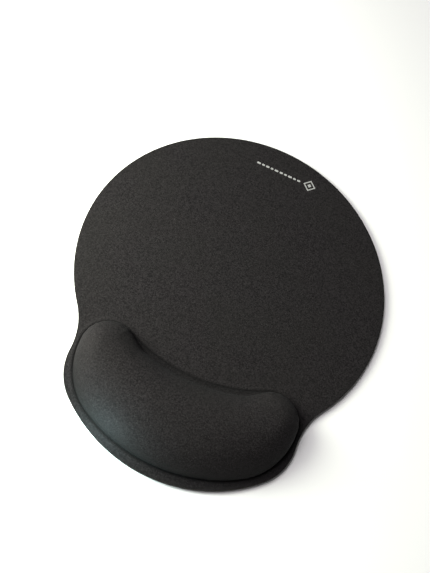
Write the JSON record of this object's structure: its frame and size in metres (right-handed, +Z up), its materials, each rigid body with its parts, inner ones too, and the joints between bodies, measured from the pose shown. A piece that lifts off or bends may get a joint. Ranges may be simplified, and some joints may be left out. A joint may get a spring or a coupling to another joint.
{
  "type": "wrist rest",
  "caption": "Round cloth mouse mat with a lobe towards the user that carries a raised, kidney-shaped gel wrist rest, on a non-slip rubber base.",
  "frame": {"origin": "on the desk, under the middle of the mat's bounding box", "axes": "+X to the user's right, +Y away from the user, +Z up; the wrist rest is at -Y"},
  "size_m": [0.21, 0.2444, 0.022],
  "materials": {
    "base_rubber": "matte",
    "film": "satin",
    "gel": "gloss",
    "cloth": "matte",
    "print": "satin"
  },
  "bodies": {
    "root": {"non_slip_base": "base_rubber", "gel_backing_film": "film", "gel_core": "gel", "gel_upper_film": "film", "fabric_cover": "cloth", "printed_mark": "print"}
  },
  "joints": []
}
